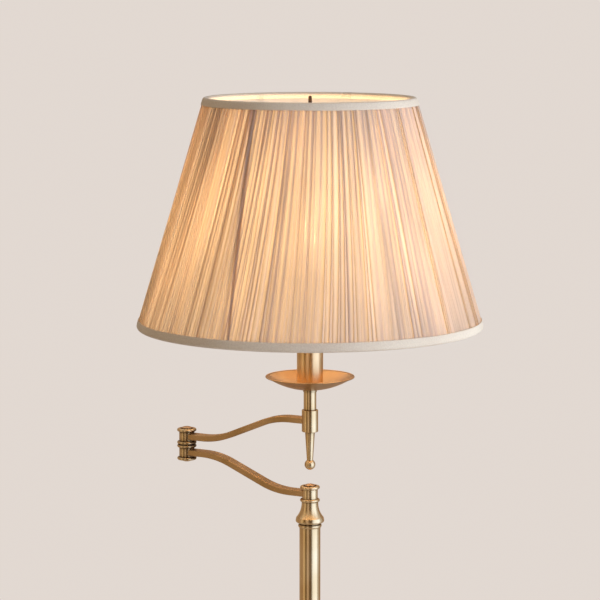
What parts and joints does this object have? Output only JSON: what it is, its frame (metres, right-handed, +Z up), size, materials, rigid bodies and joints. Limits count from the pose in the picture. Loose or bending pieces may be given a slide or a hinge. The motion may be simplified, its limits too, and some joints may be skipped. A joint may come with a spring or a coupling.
{
  "type": "swing-arm floor lamp",
  "caption": "Floor lamp on a round base and brass column: a jointed swing arm carries a drip pan, candle tube and a tapered, pleated fabric shade on a harp.",
  "frame": {"origin": "centre of the base's underside, on the floor", "axes": "+Z up the column; both arms lie folded along -X at rest, with the elbow at -X and the shade over the column; the lead's outlet is at +Y, at the back"},
  "size_m": [0.4099, 0.41, 1.502],
  "materials": {
    "antique_brass": "satin, browned",
    "copper_brass": "polished, browned",
    "bright_brass": "polished",
    "dark_bronze": "satin, dark",
    "plated_steel": "zinc plated",
    "raw_iron": "rough cast",
    "felt": "pressed felt",
    "black_plastic": "moulded, matt",
    "bulb_glass": "clear",
    "filament": "glowing",
    "pleated_silk": "hand-gathered, translucent",
    "lining": "smooth, translucent",
    "tape": "woven, folded"
  },
  "bodies": {
    "stand": {"base_felt": "felt", "base_weight": "raw_iron", "base_cover": "antique_brass", "base_nipple": "plated_steel", "base_washer": "plated_steel", "base_nut": "plated_steel", "cable_bush": "black_plastic", "column_foot": "antique_brass", "lower_ferrule": "antique_brass", "lower_tube": "antique_brass", "column_joint": "antique_brass", "upper_tube": "antique_brass", "upper_ferrule": "antique_brass", "neck": "antique_brass", "head_nipple": "plated_steel", "head_washers": "plated_steel", "head_nut": "plated_steel"},
    "lower_arm": {"head_spool": "antique_brass", "head_cap": "copper_brass", "lower_arm": "antique_brass", "elbow_lower_spool": "antique_brass", "elbow_lower_cap": "copper_brass", "elbow_nipple": "plated_steel", "elbow_washers": "plated_steel", "elbow_nuts": "plated_steel"},
    "lamp_head": {"elbow_upper_spool": "antique_brass", "elbow_upper_cap": "copper_brass", "upper_arm": "antique_brass", "arm_collar": "antique_brass", "drop_finial": "antique_brass", "lamp_nipple": "plated_steel", "stem": "antique_brass", "drip_pan": "antique_brass", "pan_nut": "plated_steel", "candle_tube": "antique_brass", "holder_base": "black_plastic", "holder_skirt": "black_plastic", "holder_shell": "bright_brass", "holder_contact": "bright_brass", "shade_ring": "black_plastic", "bulb_cap": "bright_brass", "bulb_glass": "bulb_glass", "bulb_mount": "bulb_glass", "bulb_filaments": "filament", "harp": "bright_brass", "harp_stud": "bright_brass", "shade_finial": "dark_bronze", "shade_spider": "bright_brass", "shade_struts": "bright_brass", "shade_top_ring": "bright_brass", "shade_bottom_ring": "bright_brass", "shade_lining": "lining", "shade_fabric": "pleated_silk", "top_trim": "tape", "bottom_trim": "tape"}
  },
  "joints": [
    {"name": "pole_swivel", "type": "hinge", "parent": "stand", "child": "lower_arm", "pos_m": [0, 0, 1.02], "axis": [0, 0, 1], "range_deg": [-170, 170]},
    {"name": "elbow_swivel", "type": "hinge", "parent": "lower_arm", "child": "lamp_head", "pos_m": [-0.173, 0, 1.0738], "axis": [0, 0, 1], "range_deg": [-180, 180]}
  ]
}
